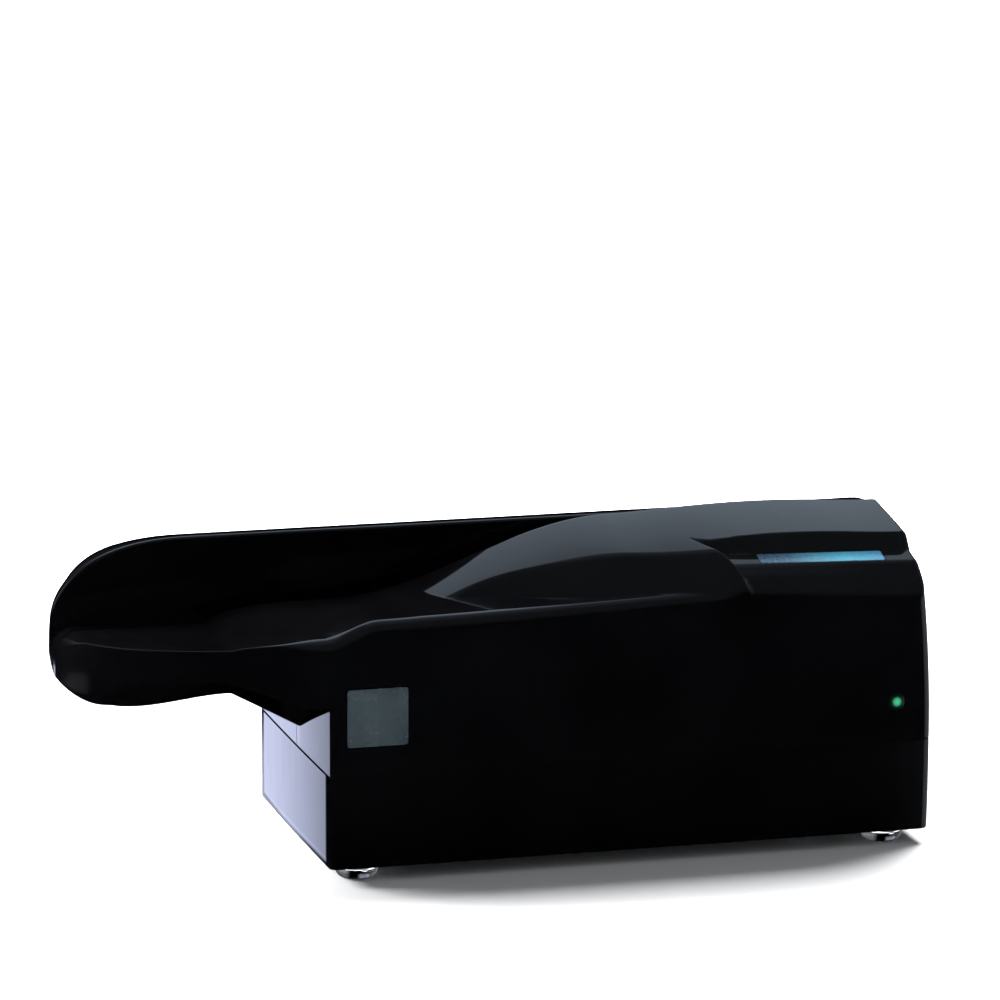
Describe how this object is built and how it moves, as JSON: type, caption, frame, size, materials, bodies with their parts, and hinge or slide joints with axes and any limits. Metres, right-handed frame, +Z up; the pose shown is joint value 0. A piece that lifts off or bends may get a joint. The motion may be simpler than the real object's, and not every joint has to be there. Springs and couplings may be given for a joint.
{
  "type": "cheque reader",
  "caption": "Counter-top cheque and bank slip reader: glossy housing with an overhanging entry wing and a paper slot that runs past driven rollers, a magnetic head and a bar code window.",
  "frame": {"origin": "on the table, under the centre of the machine's bounding box", "axes": "+X along the paper slot from the entry wing to the exit, +Y from the front face to the back, +Z up"},
  "size_m": [0.1804, 0.062, 0.0695],
  "materials": {
    "gloss_black": "polished black plastic",
    "inner_black": "matt moulded black",
    "steel": "bright turned steel",
    "spring_steel": "tempered strip",
    "bronze": "sintered bronze",
    "white_nylon": "natural nylon",
    "grey_rubber": "ground rubber",
    "clear_rubber": "clear soft dome",
    "clear_acrylic": "tinted clear plastic",
    "green_acrylic": "tinted clear plastic",
    "board_green": "solder mask",
    "chip_black": "moulded epoxy",
    "badge_grey": "satin lacquer",
    "label_blue": "glossy printed film",
    "felt_grey": "pressed felt"
  },
  "bodies": {
    "housing": {"base_tray": "gloss_black", "front_cover": "gloss_black", "rear_cover": "gloss_black", "front_left_foot": "clear_rubber", "front_right_foot": "clear_rubber", "rear_left_foot": "clear_rubber", "rear_right_foot": "clear_rubber", "case_screw_front_left": "steel", "case_screw_front_right": "steel", "case_screw_rear_left": "steel", "case_screw_rear_right": "steel", "chassis_plate": "inner_black", "shaft_bush_left": "bronze", "shaft_bush_right": "bronze", "middle_gear_pin": "steel", "motor_can": "steel", "pinch_pivot_left": "steel", "pinch_pivot_right": "steel", "pinch_spring_left": "spring_steel", "pinch_spring_right": "spring_steel", "head_pivot": "steel", "head_spring": "spring_steel", "pressure_pad": "felt_grey", "scanner_module": "chip_black", "scanner_window": "clear_acrylic", "charge_magnet": "steel", "paper_emitter": "clear_acrylic", "paper_detector": "clear_acrylic", "main_board": "board_green", "controller_chip": "chip_black", "capacitor": "chip_black", "ribbon_header": "white_nylon", "ribbon_cable": "white_nylon", "usb_socket": "steel", "status_light": "green_acrylic", "status_lamp": "clear_acrylic", "lamp_board": "board_green", "badge_plate": "badge_grey", "accent_label": "label_blue"},
    "middle_wheel": {"middle_gear": "white_nylon"},
    "left_drive": {"drive_shaft_left": "steel", "drive_gear_left": "white_nylon", "roller_core_left": "white_nylon", "roller_tyre_left": "grey_rubber"},
    "right_drive": {"drive_shaft_right": "steel", "drive_gear_right": "white_nylon", "roller_core_right": "white_nylon", "roller_tyre_right": "grey_rubber"},
    "motor_rotor": {"motor_pinion": "bronze"},
    "left_pinch": {"pinch_arm_left": "white_nylon"},
    "right_pinch": {"pinch_arm_right": "white_nylon"},
    "left_idler": {"pinch_roller_left": "grey_rubber"},
    "right_idler": {"pinch_roller_right": "grey_rubber"},
    "head_carrier": {"head_arm": "inner_black", "read_head": "steel"}
  },
  "joints": [
    {"name": "middle_gear_spin", "type": "hinge", "parent": "housing", "child": "middle_wheel", "pos_m": [0.03571, -0.00755, 0.0445], "axis": [0, 0, 1], "continuous": true},
    {"name": "left_drive_spin", "type": "hinge", "parent": "housing", "child": "left_drive", "pos_m": [0.01271, -0.00755, 0.0445], "axis": [0, 0, 1], "continuous": true},
    {"name": "right_drive_spin", "type": "hinge", "parent": "housing", "child": "right_drive", "pos_m": [0.05871, -0.00755, 0.0445], "axis": [0, 0, 1], "continuous": true},
    {"name": "motor_spin", "type": "hinge", "parent": "housing", "child": "motor_rotor", "pos_m": [0.06971, 0.00111, 0.0445], "axis": [0, 0, 1], "continuous": true},
    {"name": "left_pinch_swing", "type": "hinge", "parent": "housing", "child": "left_pinch", "pos_m": [-0.00129, 0.011, 0.0502], "axis": [0, 0, 1], "range_deg": [0, 5], "stiffness_Nm_per_rad": 0.02, "springref_deg": -2.86, "deforming": ["pinch_spring_left"]},
    {"name": "right_pinch_swing", "type": "hinge", "parent": "housing", "child": "right_pinch", "pos_m": [0.04471, 0.011, 0.0502], "axis": [0, 0, 1], "range_deg": [0, 5], "stiffness_Nm_per_rad": 0.02, "springref_deg": -2.86, "deforming": ["pinch_spring_right"]},
    {"name": "left_idler_spin", "type": "hinge", "parent": "left_pinch", "child": "left_idler", "pos_m": [0.01271, 0.00625, 0.0545], "axis": [0, 0, 1], "continuous": true},
    {"name": "right_idler_spin", "type": "hinge", "parent": "right_pinch", "child": "right_idler", "pos_m": [0.05871, 0.00625, 0.0545], "axis": [0, 0, 1], "continuous": true},
    {"name": "head_swing", "type": "hinge", "parent": "housing", "child": "head_carrier", "pos_m": [0.04771, -0.014, 0.056], "axis": [0, 0, 1], "range_deg": [0, 4], "stiffness_Nm_per_rad": 0.02, "springref_deg": -2.86, "deforming": ["head_spring"]}
  ],
  "couplings": [
    {"joint": "left_drive_spin", "follows": "middle_gear_spin", "ratio": -1.5556},
    {"joint": "right_drive_spin", "follows": "middle_gear_spin", "ratio": -1.5556},
    {"joint": "motor_spin", "follows": "middle_gear_spin", "ratio": 2.8},
    {"joint": "left_idler_spin", "follows": "middle_gear_spin", "ratio": 1.6752},
    {"joint": "right_idler_spin", "follows": "middle_gear_spin", "ratio": 1.6752}
  ]
}
